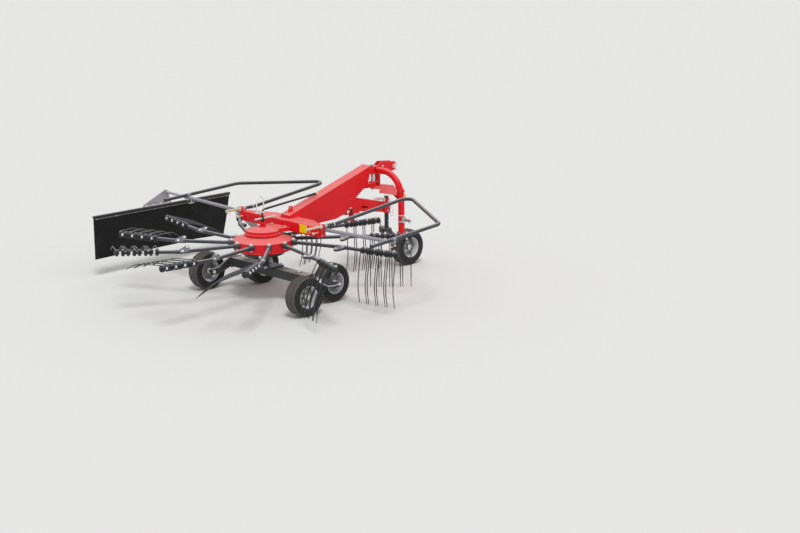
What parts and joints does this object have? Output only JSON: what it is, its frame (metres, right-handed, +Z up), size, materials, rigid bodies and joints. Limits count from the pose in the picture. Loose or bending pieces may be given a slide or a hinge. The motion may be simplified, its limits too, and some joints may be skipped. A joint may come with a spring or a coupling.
{
  "type": "single-rotor rotary rake, three-point mounted",
  "caption": "Mounted rotary rake with a single rotor of spring-tined arms, tandem wheels, a jockey wheel, folding guards and a black swath curtain on its left.",
  "frame": {"origin": "on the ground under the middle of the whole rake; the rotor's axis stands at X -0.3826, Y -0.1894 m", "axes": "+X points the way the rake travels, +Y to its left, +Z up"},
  "size_m": [3.8824, 3.7612, 1.2449],
  "materials": {
    "red_paint": "gloss paint, faded on the top faces",
    "grey_paint": "satin paint, dusty",
    "rim_paint": "satin silver-grey paint, dusty",
    "zinc": "yellow zinc plate",
    "steel": "bare turned steel",
    "galvanised": "satin grey paint worn to metal on the edges",
    "tyre": "dusty black rubber",
    "black_sheet": "matt black rubberised cloth"
  },
  "bodies": {
    "frame": {"main_beam": "red_paint", "crossbeam": "red_paint", "top_cap": "red_paint", "height_crank": "zinc", "crank_rod": "grey_paint", "column": "grey_paint", "cam_housing": "grey_paint", "axle_beam": "grey_paint", "input_shaft": "steel", "jockey_arm": "grey_paint", "guard_pins": "zinc"},
    "headstock": {"headstock_frame": "red_paint", "top_link_plates": "red_paint", "pivot_pin": "steel", "link_pins": "steel"},
    "rotor": {"rotor_drum": "red_paint", "arm_tubes": "grey_paint", "tine_bars": "grey_paint", "bar_clips": "zinc"},
    "rocker_left": {"rocker_left": "grey_paint"},
    "rocker_right": {"rocker_right": "grey_paint"},
    "guard_left": {"guard_left": "galvanised"},
    "guard_right": {"guard_right": "galvanised"},
    "curtain": {"curtain_arm": "galvanised", "curtain_rail": "galvanised", "curtain": "black_sheet"},
    "wheel_left_front": {"tyre_left_front": "tyre", "rim_left_front": "rim_paint"},
    "wheel_left_rear": {"tyre_left_rear": "tyre", "rim_left_rear": "rim_paint"},
    "wheel_right_front": {"tyre_right_front": "tyre", "rim_right_front": "rim_paint"},
    "wheel_right_rear": {"tyre_right_rear": "tyre", "rim_right_rear": "rim_paint"},
    "wheel_jockey": {"tyre_jockey": "tyre", "rim_jockey": "rim_paint"}
  },
  "joints": [
    {"name": "rotor_turn", "type": "hinge", "parent": "frame", "child": "rotor", "pos_m": [-0.3826, -0.1894, 0.6], "axis": [0, 0, 1], "continuous": true},
    {"name": "headstock_swivel", "type": "hinge", "parent": "frame", "child": "headstock", "pos_m": [1.2054, -0.1894, 1.08], "axis": [0, 0, 1], "range_deg": [-10, 10]},
    {"name": "guard_left_fold", "type": "hinge", "parent": "frame", "child": "guard_left", "pos_m": [-0.0326, 0.4626, 0.838], "axis": [1, 0, 0], "range_deg": [0, 85]},
    {"name": "guard_right_fold", "type": "hinge", "parent": "frame", "child": "guard_right", "pos_m": [-0.0326, -0.8414, 0.838], "axis": [-1, 0, 0], "range_deg": [0, 85]},
    {"name": "curtain_slide", "type": "slide", "parent": "guard_left", "child": "curtain", "axis": [0, 0.9997, 0.0227], "range_m": [-0.25, 0.35]},
    {"name": "rocker_left_swing", "type": "hinge", "parent": "frame", "child": "rocker_left", "pos_m": [-0.2426, 0.4886, 0.29], "axis": [0, 1, 0], "range_deg": [-10, 10]},
    {"name": "rocker_right_swing", "type": "hinge", "parent": "frame", "child": "rocker_right", "pos_m": [-0.2426, -0.8674, 0.29], "axis": [0, 1, 0], "range_deg": [-10, 10]},
    {"name": "wheel_left_front_turn", "type": "hinge", "parent": "rocker_left", "child": "wheel_left_front", "pos_m": [0.0474, 0.3756, 0.204], "axis": [0, 1, 0], "continuous": true},
    {"name": "wheel_left_rear_turn", "type": "hinge", "parent": "rocker_left", "child": "wheel_left_rear", "pos_m": [-0.5226, 0.6006, 0.204], "axis": [0, 1, 0], "continuous": true},
    {"name": "wheel_right_front_turn", "type": "hinge", "parent": "rocker_right", "child": "wheel_right_front", "pos_m": [0.0474, -0.7544, 0.204], "axis": [0, 1, 0], "continuous": true},
    {"name": "wheel_right_rear_turn", "type": "hinge", "parent": "rocker_right", "child": "wheel_right_rear", "pos_m": [-0.5226, -0.9794, 0.204], "axis": [0, 1, 0], "continuous": true},
    {"name": "wheel_jockey_turn", "type": "hinge", "parent": "frame", "child": "wheel_jockey", "pos_m": [1.7374, -0.1894, 0.204], "axis": [0, 1, 0], "continuous": true}
  ]
}
